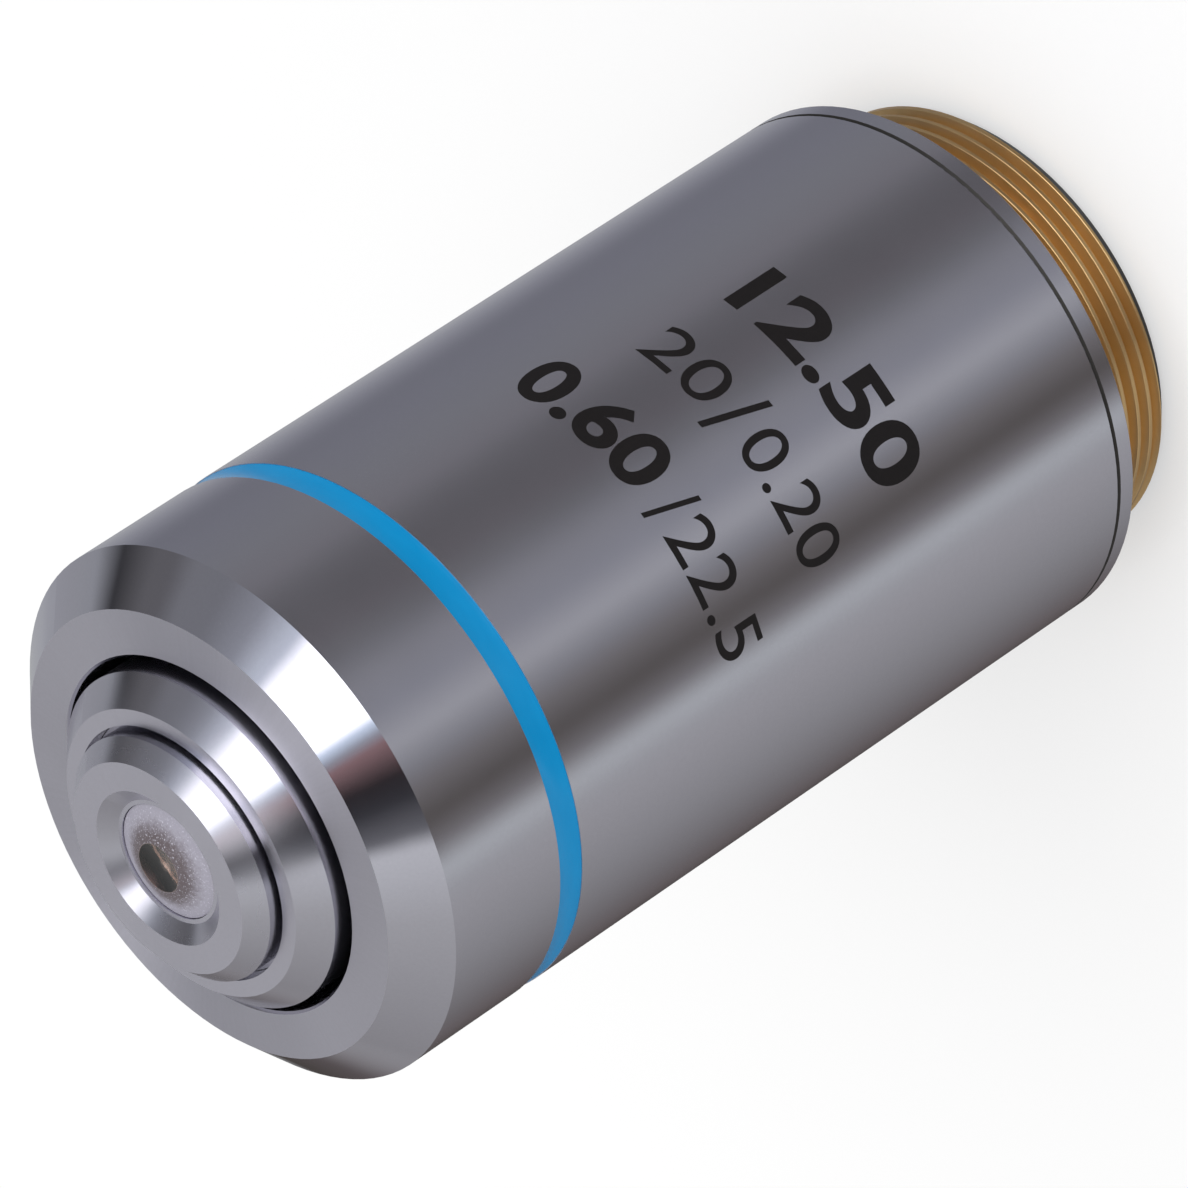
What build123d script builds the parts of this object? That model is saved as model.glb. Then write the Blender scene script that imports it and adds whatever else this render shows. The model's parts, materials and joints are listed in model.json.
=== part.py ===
from build123d import *
import os
from math import cos, radians, sin, sqrt

os.makedirs("parts", exist_ok=True)

# Microscope objective with a spring-loaded nose, in millimetres
# Z is the optical axis and points up, out of the nose
# The origin is on the axis, in the plane of the shoulder that seats on the microscope
# Front means towards the nose, rear means towards the thread
# Radii run in a chain of walls and clearances, in and out from the standard mounting thread

# Standard objective thread, drawn plain at its crest
thread_radius = 10.12
thread_length = 4.35
thread_lead_height = 0.55
thread_lead_width = 0.48
thread_wall = 1.47
rear_bore_lead = 0.3

# Clearances on radius, and end play
fit = 0.02
slide_clearance = 0.03
end_play = 0.02

# Flange and outer sleeve, whose walls add up to a body 24 mm across
flange_height = 0.94
sleeve_length = 40.66
sleeve_wall = 1.65
sleeve_front_wall = 4.1
sleeve_chamfer_height = 1.8
sleeve_chamfer_width = 1.92
edge_break = 0.1

# Coloured enamel band, in a groove round the sleeve
band_from_front = 7.65
band_width = 1.25
band_groove_depth = 0.35
band_edge_sunk = 0.03
band_hollow = 0.1

# Guide tube inside the sleeve, one piece with the thread and the flange
stop_step = 1.1
guide_wall = 1.68
guide_relief = 0.35
spigot_length = 6.0
guide_bearing_length = 7.0
guide_front_room = 4.5

# Sprung nose and its stops
travel = 2.0
rear_room = 0.5
parfocal_ring_height = 1.0
parfocal_ring_clearance = 0.1
barrel_flange_height = 3.0

# Lens barrel
barrel_wall = 0.9
barrel_proud = 1.5
nose_gap = 0.42
nose_wall = 1.83
nose_cone_height = 1.08
nose_cone_width = 1.1
pocket_depth = 4.0
barrel_web = 1.0
barrel_web_ledge = 1.12
barrel_tail = 0.5

# Front cell, which screws into the pocket of the barrel
cell_gap = 0.22
cell_proud = 1.25
cell_cone_height = 0.78
cell_cone_width = 0.76
cell_neck_depth = 0.8
cell_skirt_wall = 1.4
cell_rear_bore_length = 1.5
recess_depth = 0.55
recess_bevel_width = 0.68
recess_ledge_width = 0.21

# Coil spring and the threaded ring that holds it in
wire_diameter = 0.7
wire_clearance = 0.475
spring_turns = 6
retainer_inset = 1.3
retainer_height = 2.8
retainer_wall = 3.45
spanner_slot_width = 1.2
spanner_slot_depth = 0.8

# Guide screw, whose tip runs in a slot of the barrel and stops the nose turning
screw_head_step = 0.45
screw_head_height = 0.8
screw_shank_step = 0.1
screw_tip_radius = 0.7
screw_tip_reach = 0.6
screw_slot_width = 0.35
screw_slot_depth = 0.35
guide_slot_side_play = 0.05
guide_slot_end_play = 0.1
guide_slot_floor_play = 0.1

# Three screws that centre the meniscus cell
centring_screw_radius = 0.7
centring_screw_count = 3
centring_screw_sunk = 0.15
centring_room = 0.3

# Stack of pieces in the barrel; each cell is as long as its lens needs, between a head and a tail
# The baffle tube takes what is left
cell_head = 0.45
cell_tail = 0.75
cell_mouth_bevel = 0.4
seat_overlap = 0.4
seat_lip = 0.4
front_spacer_height = 1.2
middle_spacer_height = 1.5
spacer_wall = 0.9
stop_height = 0.4
stop_wall = 3.08
retaining_ring_height = 1.4
retaining_ring_wall = 1.68
baffle_groove_depth = 0.45
baffle_groove_count = 4

# Lenses: the wall of the cell outside each, a thickness, and how deep each face is at its rim
# A thick-edged lens gives the thickness at its middle, the others give it at their edge
cement = 0.01
front_lens_wall = 2.93
front_lens_sunk = 0.09
front_lens_edge = 0.61
front_lens_short_of_ball = 0.7
front_lens_cone_height = 0.6
front_lens_window_share = 0.43
front_lens_window_hollow = 0.15
meniscus_wall = 2.2
meniscus_edge = 1.3
meniscus_front_hollow = 1.0
meniscus_rear_bulge = 1.35
front_doublet_wall = 1.58
front_flint_front_bulge = 0.25
front_flint_middle = 0.8
front_doublet_cement_bulge = 1.6
front_crown_edge = 0.5
front_crown_rear_bulge = 1.0
rear_doublet_wall = 1.18
rear_crown_front_bulge = 1.2
rear_crown_edge = 0.6
rear_doublet_cement_bulge = 1.6
rear_flint_middle = 0.8
rear_flint_rear_bulge = 0.7
field_lens_wall = 2.08
field_lens_front_hollow = 0.65
field_lens_middle = 1.0
field_lens_rear_hollow = 0.85

# Radii inward from the thread
guide_bore_radius = thread_radius - thread_wall
barrel_radius = guide_bore_radius - stop_step
guide_hole_radius = barrel_radius + slide_clearance
barrel_flange_radius = guide_bore_radius - slide_clearance
spring_radius = guide_bore_radius - wire_clearance - wire_diameter / 2
skirt_radius = spring_radius - wire_diameter / 2 - wire_clearance
stack_radius = skirt_radius - barrel_wall
stack_piece_radius = stack_radius - fit
meniscus_cell_radius = stack_radius - centring_room
spacer_bore_radius = stack_piece_radius - spacer_wall
pocket_radius = barrel_radius - nose_wall
cell_skirt_radius = pocket_radius - fit
cell_radius = pocket_radius - cell_gap
screw_shank_radius = screw_tip_radius + screw_shank_step
screw_head_radius = screw_shank_radius + screw_head_step

# Radii outward from the guide bore
spigot_radius = guide_bore_radius + guide_wall
guide_radius = spigot_radius - guide_relief
sleeve_bore_radius = spigot_radius + fit
body_radius = sleeve_bore_radius + sleeve_wall
sleeve_mouth_radius = barrel_radius + nose_gap

# Lens radii, the hole of the stop, and the nearly half-ball rear of the front lens
stop_hole_radius = stack_piece_radius - stop_wall
front_lens_radius = cell_radius - front_lens_wall
front_lens_rear_bulge = front_lens_radius - front_lens_short_of_ball
meniscus_radius = meniscus_cell_radius - meniscus_wall
front_doublet_radius = stack_piece_radius - front_doublet_wall
rear_doublet_radius = stack_piece_radius - rear_doublet_wall
field_lens_radius = stack_piece_radius - field_lens_wall

# Heights of the body, from the rear end to the nose
rear_end = -thread_length
sleeve_front = flange_height + sleeve_length
sleeve_shoulder = sleeve_front - sleeve_front_wall
guide_front = sleeve_shoulder - guide_front_room
guide_stop = guide_front - guide_bearing_length
guide_screw_height = guide_stop + guide_bearing_length / 2
band_front = sleeve_front - band_from_front
band_rear = band_front - band_width

# Heights of the sprung nose and of what it bears on
barrel_stop = guide_stop - parfocal_ring_height - end_play
barrel_flange_rear = barrel_stop - barrel_flange_height
retainer_front = retainer_inset + retainer_height
barrel_rear = retainer_front + travel + rear_room
barrel_front = sleeve_front + barrel_proud
pocket_floor = barrel_front - pocket_depth
stack_front = pocket_floor - barrel_web
cell_front = barrel_front + cell_proud


def sag(bulge, rim_radius, radius):
    """Depth at a radius of a spherical face whose depth at its rim is given."""
    curve = (rim_radius**2 + bulge**2) / (2 * bulge)
    return curve - sqrt(curve**2 - radius**2)


def seat_height(rear_edge, rear_bulge, lens_radius):
    """Height of the lip that a bulging rear face rests on, just clear of the glass."""
    rear_middle = rear_edge - rear_bulge
    return rear_middle + sag(rear_bulge, lens_radius, lens_radius - seat_overlap) - fit / 2


def half_section(*points):
    """Closed half-section through radius and height pairs, for turning round the optical axis."""
    with BuildSketch(Plane.XZ) as section:
        with BuildLine():
            Polyline(*points, close=True)
        make_face()
    return section.sketch


def lens_section(radius, front_edge, front_bulge, rear_edge, rear_bulge):
    """Half-section of a lens; a face bulges out of the glass, or is hollow where that is negative."""
    front_middle = front_edge + front_bulge
    rear_middle = rear_edge - rear_bulge
    with BuildSketch(Plane.XZ) as section:
        with BuildLine():
            TangentArc((0, front_middle), (radius, front_edge), tangent=(1, 0))
            Line((radius, front_edge), (radius, rear_edge))
            TangentArc((0, rear_middle), (radius, rear_edge), tangent=(1, 0))
            Line((0, rear_middle), (0, front_middle))
        make_face()
    return section.sketch


def cell_section(outer_radius, front, rear, lens_radius, seat):
    """Half-section of a lens cell, bored from the front down to the lip that seats the lens."""
    bore_radius = lens_radius + fit
    seat_radius = lens_radius - seat_overlap
    return half_section(
        (seat_radius, seat),
        (seat_radius, seat - seat_lip),
        (seat_radius + seat_overlap, rear),
        (outer_radius, rear),
        (outer_radius, front),
        (bore_radius + cell_mouth_bevel, front),
        (bore_radius, front - cell_mouth_bevel),
        (bore_radius, seat),
    )


def ring_section(inner_radius, outer_radius, rear, front):
    """Half-section of a plain ring."""
    return half_section(
        (inner_radius, rear), (outer_radius, rear), (outer_radius, front), (inner_radius, front)
    )


def side_plane(radius, height, angle):
    """Plane that faces out from the optical axis at a radius, a height and an angle from +X."""
    outward = (cos(radians(angle)), sin(radians(angle)), 0)
    place = (radius * outward[0], radius * outward[1], height)
    return Plane(origin=place, x_dir=(0, 0, 1), z_dir=outward)


# Meniscus lens and cell: the hollow front rim is the highest point of the glass
meniscus_front_edge = stack_front - cell_head
meniscus_rear_edge = meniscus_front_edge - meniscus_edge
meniscus_cell_rear = meniscus_rear_edge - meniscus_rear_bulge - cell_tail

# Front doublet: the flint faces the nose, with the crown cemented behind it
front_spacer_rear = meniscus_cell_rear - front_spacer_height
front_flint_edge = front_flint_middle + front_doublet_cement_bulge - front_flint_front_bulge
front_flint_front_edge = front_spacer_rear - cell_head - front_flint_front_bulge
front_flint_rear_edge = front_flint_front_edge - front_flint_edge
front_crown_front_edge = front_flint_rear_edge - cement
front_crown_rear_edge = front_crown_front_edge - front_crown_edge
front_doublet_cell_rear = front_crown_rear_edge - front_crown_rear_bulge - cell_tail

# Rear doublet: the crown faces the nose, with the flint cemented behind it
middle_spacer_rear = front_doublet_cell_rear - middle_spacer_height
rear_flint_edge = rear_flint_middle + rear_doublet_cement_bulge - rear_flint_rear_bulge
rear_crown_front_edge = middle_spacer_rear - cell_head - rear_crown_front_bulge
rear_crown_rear_edge = rear_crown_front_edge - rear_crown_edge
rear_flint_front_edge = rear_crown_rear_edge - cement
rear_flint_rear_edge = rear_flint_front_edge - rear_flint_edge
rear_doublet_cell_rear = rear_flint_rear_edge - rear_flint_rear_bulge - cell_tail

# Field lens, aperture stop and retaining ring, up from the rear of the barrel
retaining_ring_rear = barrel_rear + barrel_tail
field_cell_rear = retaining_ring_rear + retaining_ring_height
field_lens_seat = field_cell_rear + cell_tail
field_lens_rear_edge = field_lens_seat + fit / 2
field_lens_edge = field_lens_front_hollow + field_lens_middle + field_lens_rear_hollow
field_lens_front_edge = field_lens_rear_edge + field_lens_edge
stop_rear = field_lens_front_edge + cell_head
baffle_rear = stop_rear + stop_height

# Planes of the screws: the guide screw is at the back, the centring screws are evenly spaced
guide_screw_plane = side_plane(guide_radius, guide_screw_height, 90)
centring_height = (stack_front + meniscus_cell_rear) / 2
centring_planes = [
    side_plane(barrel_radius, centring_height, 90 + 360 * (index + 0.5) / centring_screw_count)
    for index in range(centring_screw_count)
]

# Mount body: thread, flange, spigot for the sleeve and guide tube, turned as one piece
with BuildPart() as mount_body:
    revolve(
        half_section(
            (guide_bore_radius + rear_bore_lead, rear_end),
            (thread_radius - thread_lead_width, rear_end),
            (thread_radius, rear_end + thread_lead_height),
            (thread_radius, 0),
            (body_radius - edge_break, 0),
            (body_radius, edge_break),
            (body_radius, flange_height - edge_break),
            (body_radius - edge_break, flange_height),
            (spigot_radius, flange_height),
            (spigot_radius, flange_height + spigot_length),
            (guide_radius, flange_height + spigot_length + guide_relief),
            (guide_radius, guide_front - edge_break),
            (guide_radius - edge_break, guide_front),
            (guide_hole_radius, guide_front),
            (guide_hole_radius, guide_stop),
            (guide_bore_radius, guide_stop),
            (guide_bore_radius, rear_end + rear_bore_lead),
        ),
        axis=Axis.Z,
    )
    with Locations(guide_screw_plane):
        CounterBoreHole(
            screw_shank_radius + fit,
            screw_head_radius + fit,
            screw_head_height,
            depth=guide_radius - skirt_radius,
        )
mount_body.part.label = "mount_body"
export_step(mount_body.part, "parts/mount_body.step")

# Outer sleeve: closed over the guide tube, with a bright chamfer round its front face
with BuildPart() as outer_sleeve:
    revolve(
        half_section(
            (sleeve_bore_radius + edge_break, flange_height),
            (body_radius - edge_break, flange_height),
            (body_radius, flange_height + edge_break),
            (body_radius, band_rear),
            (body_radius - band_groove_depth, band_rear),
            (body_radius - band_groove_depth, band_front),
            (body_radius, band_front),
            (body_radius, sleeve_front - sleeve_chamfer_height),
            (body_radius - sleeve_chamfer_width, sleeve_front),
            (sleeve_mouth_radius + edge_break, sleeve_front),
            (sleeve_mouth_radius, sleeve_front - edge_break),
            (sleeve_mouth_radius, sleeve_shoulder),
            (sleeve_bore_radius, sleeve_shoulder),
            (sleeve_bore_radius, flange_height + edge_break),
        ),
        axis=Axis.Z,
    )
outer_sleeve.part.label = "outer_sleeve"
export_step(outer_sleeve.part, "parts/outer_sleeve.step")

# Colour band: enamel that has drawn in to a slight hollow between the walls of its groove
with BuildPart() as colour_band:
    band_edge_radius = body_radius - band_edge_sunk
    band_floor_radius = body_radius - band_groove_depth
    with BuildSketch(Plane.XZ):
        with BuildLine():
            SagittaArc((band_edge_radius, band_rear), (band_edge_radius, band_front), band_hollow)
            Polyline(
                (band_edge_radius, band_front),
                (band_floor_radius, band_front),
                (band_floor_radius, band_rear),
                (band_edge_radius, band_rear),
            )
        make_face()
    revolve(axis=Axis.Z)
colour_band.part.label = "colour_band"
export_step(colour_band.part, "parts/colour_band.step")

# Guide screw: slotted head in the guide tube, plain tip in the slot of the barrel
with BuildPart() as guide_screw:
    shank_length = guide_radius - guide_hole_radius
    tip_end = shank_length + slide_clearance + screw_tip_reach
    with BuildSketch(guide_screw_plane):
        Circle(screw_head_radius)
    extrude(amount=-screw_head_height)
    with BuildSketch(guide_screw_plane):
        Circle(screw_shank_radius)
    extrude(amount=-shank_length)
    with BuildSketch(guide_screw_plane):
        Circle(screw_tip_radius)
    extrude(amount=-tip_end)
    with BuildSketch(guide_screw_plane):
        Rectangle(2 * screw_head_radius, screw_slot_width)
    extrude(amount=-screw_slot_depth, mode=Mode.SUBTRACT)
guide_screw.part.label = "guide_screw"
export_step(guide_screw.part, "parts/guide_screw.step")

# Parfocal ring: the washer whose thickness sets where the nose comes to rest
with BuildPart() as parfocal_ring:
    revolve(
        ring_section(
            guide_hole_radius + parfocal_ring_clearance,
            guide_bore_radius - fit,
            guide_stop - parfocal_ring_height,
            guide_stop,
        ),
        axis=Axis.Z,
    )
parfocal_ring.part.label = "parfocal_ring"
export_step(parfocal_ring.part, "parts/parfocal_ring.step")

# Spring retainer: threaded ring with a spanner slot, screwed in from the rear
retainer_hole_radius = guide_bore_radius - retainer_wall
with BuildPart() as spring_retainer:
    revolve(
        half_section(
            (retainer_hole_radius + edge_break, retainer_inset),
            (guide_bore_radius - fit - edge_break, retainer_inset),
            (guide_bore_radius - fit, retainer_inset + edge_break),
            (guide_bore_radius - fit, retainer_front),
            (retainer_hole_radius, retainer_front),
            (retainer_hole_radius, retainer_inset + edge_break),
        ),
        axis=Axis.Z,
    )
    with BuildSketch(Plane.XY.offset(retainer_inset)):
        Rectangle(2 * guide_bore_radius, spanner_slot_width)
    extrude(amount=spanner_slot_depth, mode=Mode.SUBTRACT)
spring_retainer.part.label = "spring_retainer"
export_step(spring_retainer.part, "parts/spring_retainer.step")

# Coil spring: closed end turns, ground flat where they bear on the retainer and on the barrel
with BuildPart() as coil_spring:
    spring_length = barrel_flange_rear - retainer_front - end_play
    ground = wire_diameter / 4
    coiled_length = spring_length - wire_diameter + 2 * ground
    open_length = coiled_length - 2 * wire_diameter
    spring_start = retainer_front + wire_diameter / 2 - ground
    open_start = spring_start + wire_diameter
    open_end = open_start + open_length
    with BuildLine() as wire_path:
        Helix(wire_diameter, wire_diameter, spring_radius, center=(0, 0, spring_start))
        Helix(open_length / spring_turns, open_length, spring_radius, center=(0, 0, open_start))
        Helix(wire_diameter, wire_diameter, spring_radius, center=(0, 0, open_end))
    with BuildSketch(Plane(wire_path.wires()[0] ^ 0)):
        RegularPolygon(wire_diameter / 2, 12)
    sweep(path=wire_path.wires()[0])
    split(bisect_by=Plane.XY.offset(retainer_front), keep=Keep.TOP)
    split(bisect_by=Plane.XY.offset(retainer_front + spring_length), keep=Keep.BOTTOM)
coil_spring.part.label = "coil_spring"
export_step(coil_spring.part, "parts/coil_spring.step")

# Lens barrel: sliding tube with the bright nose cone, a stop flange and a pocket for the front cell
with BuildPart() as lens_barrel:
    revolve(
        half_section(
            (pocket_radius, barrel_front),
            (barrel_radius - nose_cone_width, barrel_front),
            (barrel_radius, barrel_front - nose_cone_height),
            (barrel_radius, barrel_stop),
            (barrel_flange_radius, barrel_stop),
            (barrel_flange_radius, barrel_flange_rear),
            (skirt_radius, barrel_flange_rear),
            (skirt_radius, barrel_rear),
            (stack_radius, barrel_rear),
            (stack_radius, stack_front),
            (pocket_radius - barrel_web_ledge, stack_front),
            (pocket_radius - barrel_web_ledge, pocket_floor),
            (pocket_radius, pocket_floor),
        ),
        axis=Axis.Z,
    )
    slot_floor = barrel_radius - screw_tip_reach - guide_slot_floor_play
    slot_half_width = screw_tip_radius + guide_slot_side_play
    slot_rear = guide_screw_height - slot_half_width - guide_slot_end_play
    slot_front = guide_screw_height + travel + slot_half_width + guide_slot_end_play
    with BuildSketch(side_plane(slot_floor, (slot_rear + slot_front) / 2, 90)):
        SlotOverall(slot_front - slot_rear, 2 * slot_half_width)
    extrude(amount=barrel_radius - slot_floor, mode=Mode.SUBTRACT)
    with Locations(*centring_planes):
        Hole(centring_screw_radius + fit, depth=barrel_radius - stack_radius + centring_room)
lens_barrel.part.label = "lens_barrel"
export_step(lens_barrel.part, "parts/lens_barrel.step")

# Front cell: carries the front lens in a bevelled recess, and clears the light cone behind it
recess_floor = cell_front - recess_depth
recess_floor_radius = front_lens_radius + recess_ledge_width
front_lens_rim = recess_floor - front_lens_sunk
front_lens_rear_edge = front_lens_rim - front_lens_edge
front_lens_seat = seat_height(front_lens_rear_edge, front_lens_rear_bulge, front_lens_radius)
front_seat_radius = front_lens_radius - seat_overlap
cell_rear_bore_radius = cell_skirt_radius - cell_skirt_wall
with BuildPart() as front_cell:
    revolve(
        half_section(
            (front_lens_radius + fit, recess_floor),
            (recess_floor_radius, recess_floor),
            (recess_floor_radius + recess_bevel_width, cell_front),
            (cell_radius - cell_cone_width, cell_front),
            (cell_radius, cell_front - cell_cone_height),
            (cell_radius, barrel_front - cell_neck_depth),
            (cell_skirt_radius, barrel_front - cell_neck_depth),
            (cell_skirt_radius, pocket_floor),
            (cell_rear_bore_radius, pocket_floor),
            (cell_rear_bore_radius, pocket_floor + cell_rear_bore_length),
            (front_seat_radius, front_lens_seat - seat_lip / 2),
            (front_seat_radius, front_lens_seat),
            (front_lens_radius + fit, front_lens_seat),
        ),
        axis=Axis.Z,
    )
front_cell.part.label = "front_cell"
export_step(front_cell.part, "parts/front_cell.step")

# Front lens: a small hollow window on top of a ground cone, strongly curved behind
with BuildPart() as front_lens:
    front_lens_rear = front_lens_rear_edge - front_lens_rear_bulge
    window_radius = front_lens_window_share * front_lens_radius
    window_edge = front_lens_rim + front_lens_cone_height
    window_middle = window_edge - front_lens_window_hollow
    with BuildSketch(Plane.XZ):
        with BuildLine():
            Line((0, front_lens_rear), (0, window_middle))
            TangentArc((0, window_middle), (window_radius, window_edge), tangent=(1, 0))
            Polyline(
                (window_radius, window_edge),
                (front_lens_radius, front_lens_rim),
                (front_lens_radius, front_lens_rear_edge),
            )
            TangentArc(
                (0, front_lens_rear), (front_lens_radius, front_lens_rear_edge), tangent=(1, 0)
            )
        make_face()
    revolve(axis=Axis.Z)
front_lens.part.label = "front_lens"
export_step(front_lens.part, "parts/front_lens.step")

# Meniscus lens in a cell that is free to be centred by its three screws
with BuildPart() as meniscus_cell:
    revolve(
        cell_section(
            meniscus_cell_radius,
            stack_front,
            meniscus_cell_rear,
            meniscus_radius,
            seat_height(meniscus_rear_edge, meniscus_rear_bulge, meniscus_radius),
        ),
        axis=Axis.Z,
    )
meniscus_cell.part.label = "meniscus_cell"
export_step(meniscus_cell.part, "parts/meniscus_cell.step")

with BuildPart() as meniscus_lens:
    revolve(
        lens_section(
            meniscus_radius,
            meniscus_front_edge,
            -meniscus_front_hollow,
            meniscus_rear_edge,
            meniscus_rear_bulge,
        ),
        axis=Axis.Z,
    )
meniscus_lens.part.label = "meniscus_lens"
export_step(meniscus_lens.part, "parts/meniscus_lens.step")

# Centring screws: three slotted grub screws, sunk in the barrel wall and bearing on the cell
with BuildPart() as centring_screws:
    centring_screw_length = barrel_radius - centring_screw_sunk - meniscus_cell_radius
    for plane in centring_planes:
        with BuildSketch(plane.offset(-centring_screw_sunk)):
            Circle(centring_screw_radius)
        extrude(amount=-centring_screw_length)
        with BuildSketch(plane.offset(-centring_screw_sunk)):
            Rectangle(2 * centring_screw_radius, screw_slot_width)
        extrude(amount=-screw_slot_depth, mode=Mode.SUBTRACT)
centring_screws.part.label = "centring_screws"
export_step(centring_screws.part, "parts/centring_screws.step")

# Front doublet in its turned cell
with BuildPart() as front_doublet_cell:
    revolve(
        cell_section(
            stack_piece_radius,
            front_spacer_rear,
            front_doublet_cell_rear,
            front_doublet_radius,
            seat_height(front_crown_rear_edge, front_crown_rear_bulge, front_doublet_radius),
        ),
        axis=Axis.Z,
    )
front_doublet_cell.part.label = "front_doublet_cell"
export_step(front_doublet_cell.part, "parts/front_doublet_cell.step")

with BuildPart() as front_doublet_flint:
    revolve(
        lens_section(
            front_doublet_radius,
            front_flint_front_edge,
            front_flint_front_bulge,
            front_flint_rear_edge,
            -front_doublet_cement_bulge,
        ),
        axis=Axis.Z,
    )
front_doublet_flint.part.label = "front_doublet_flint"
export_step(front_doublet_flint.part, "parts/front_doublet_flint.step")

with BuildPart() as front_doublet_crown:
    revolve(
        lens_section(
            front_doublet_radius,
            front_crown_front_edge,
            front_doublet_cement_bulge,
            front_crown_rear_edge,
            front_crown_rear_bulge,
        ),
        axis=Axis.Z,
    )
front_doublet_crown.part.label = "front_doublet_crown"
export_step(front_doublet_crown.part, "parts/front_doublet_crown.step")

# Rear doublet in its turned cell
with BuildPart() as rear_doublet_cell:
    revolve(
        cell_section(
            stack_piece_radius,
            middle_spacer_rear,
            rear_doublet_cell_rear,
            rear_doublet_radius,
            seat_height(rear_flint_rear_edge, rear_flint_rear_bulge, rear_doublet_radius),
        ),
        axis=Axis.Z,
    )
rear_doublet_cell.part.label = "rear_doublet_cell"
export_step(rear_doublet_cell.part, "parts/rear_doublet_cell.step")

with BuildPart() as rear_doublet_crown:
    revolve(
        lens_section(
            rear_doublet_radius,
            rear_crown_front_edge,
            rear_crown_front_bulge,
            rear_crown_rear_edge,
            rear_doublet_cement_bulge,
        ),
        axis=Axis.Z,
    )
rear_doublet_crown.part.label = "rear_doublet_crown"
export_step(rear_doublet_crown.part, "parts/rear_doublet_crown.step")

with BuildPart() as rear_doublet_flint:
    revolve(
        lens_section(
            rear_doublet_radius,
            rear_flint_front_edge,
            -rear_doublet_cement_bulge,
            rear_flint_rear_edge,
            rear_flint_rear_bulge,
        ),
        axis=Axis.Z,
    )
rear_doublet_flint.part.label = "rear_doublet_flint"
export_step(rear_doublet_flint.part, "parts/rear_doublet_flint.step")

# Spacer rings between the cells
with BuildPart() as front_spacer:
    revolve(
        ring_section(spacer_bore_radius, stack_piece_radius, front_spacer_rear, meniscus_cell_rear),
        axis=Axis.Z,
    )
front_spacer.part.label = "front_spacer"
export_step(front_spacer.part, "parts/front_spacer.step")

with BuildPart() as middle_spacer:
    revolve(
        ring_section(
            spacer_bore_radius, stack_piece_radius, middle_spacer_rear, front_doublet_cell_rear
        ),
        axis=Axis.Z,
    )
middle_spacer.part.label = "middle_spacer"
export_step(middle_spacer.part, "parts/middle_spacer.step")

# Baffle tube: long spacer with saw-tooth grooves inside that trap stray light
with BuildPart() as baffle_tube:
    groove_pitch = (rear_doublet_cell_rear - baffle_rear) / (baffle_groove_count + 1)
    groove_front = rear_doublet_cell_rear - groove_pitch / 2
    grooves = []
    for index in range(baffle_groove_count):
        grooves.append((spacer_bore_radius, groove_front))
        grooves.append((spacer_bore_radius + baffle_groove_depth, groove_front))
        groove_front -= groove_pitch
    grooves.append((spacer_bore_radius, groove_front))
    revolve(
        half_section(
            (spacer_bore_radius, baffle_rear),
            (stack_piece_radius, baffle_rear),
            (stack_piece_radius, rear_doublet_cell_rear),
            (spacer_bore_radius, rear_doublet_cell_rear),
            *grooves,
        ),
        axis=Axis.Z,
    )
baffle_tube.part.label = "baffle_tube"
export_step(baffle_tube.part, "parts/baffle_tube.step")

# Aperture stop: thin blackened washer with a knife edge round its hole
with BuildPart() as aperture_stop:
    revolve(
        half_section(
            (stop_hole_radius, baffle_rear),
            (stack_piece_radius, baffle_rear),
            (stack_piece_radius, stop_rear),
            (stop_hole_radius + stop_height, stop_rear),
        ),
        axis=Axis.Z,
    )
aperture_stop.part.label = "aperture_stop"
export_step(aperture_stop.part, "parts/aperture_stop.step")

# Field cell and its lens, hollow on both faces, the last of the train
with BuildPart() as field_cell:
    revolve(
        cell_section(
            stack_piece_radius, stop_rear, field_cell_rear, field_lens_radius, field_lens_seat
        ),
        axis=Axis.Z,
    )
field_cell.part.label = "field_cell"
export_step(field_cell.part, "parts/field_cell.step")

with BuildPart() as field_lens:
    revolve(
        lens_section(
            field_lens_radius,
            field_lens_front_edge,
            -field_lens_front_hollow,
            field_lens_rear_edge,
            -field_lens_rear_hollow,
        ),
        axis=Axis.Z,
    )
field_lens.part.label = "field_lens"
export_step(field_lens.part, "parts/field_lens.step")

# Retaining ring: clamps the whole stack forward against the web of the barrel
with BuildPart() as retaining_ring:
    revolve(
        ring_section(
            stack_piece_radius - retaining_ring_wall,
            stack_piece_radius,
            retaining_ring_rear,
            field_cell_rear,
        ),
        axis=Axis.Z,
    )
    with BuildSketch(Plane.XY.offset(retaining_ring_rear)):
        Rectangle(2 * stack_radius, spanner_slot_width)
    extrude(amount=spanner_slot_depth, mode=Mode.SUBTRACT)
retaining_ring.part.label = "retaining_ring"
export_step(retaining_ring.part, "parts/retaining_ring.step")
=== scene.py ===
import json
from math import atan2, cos, hypot, pi, radians, sin

import bmesh
import bpy
from mathutils import Matrix, Vector


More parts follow.
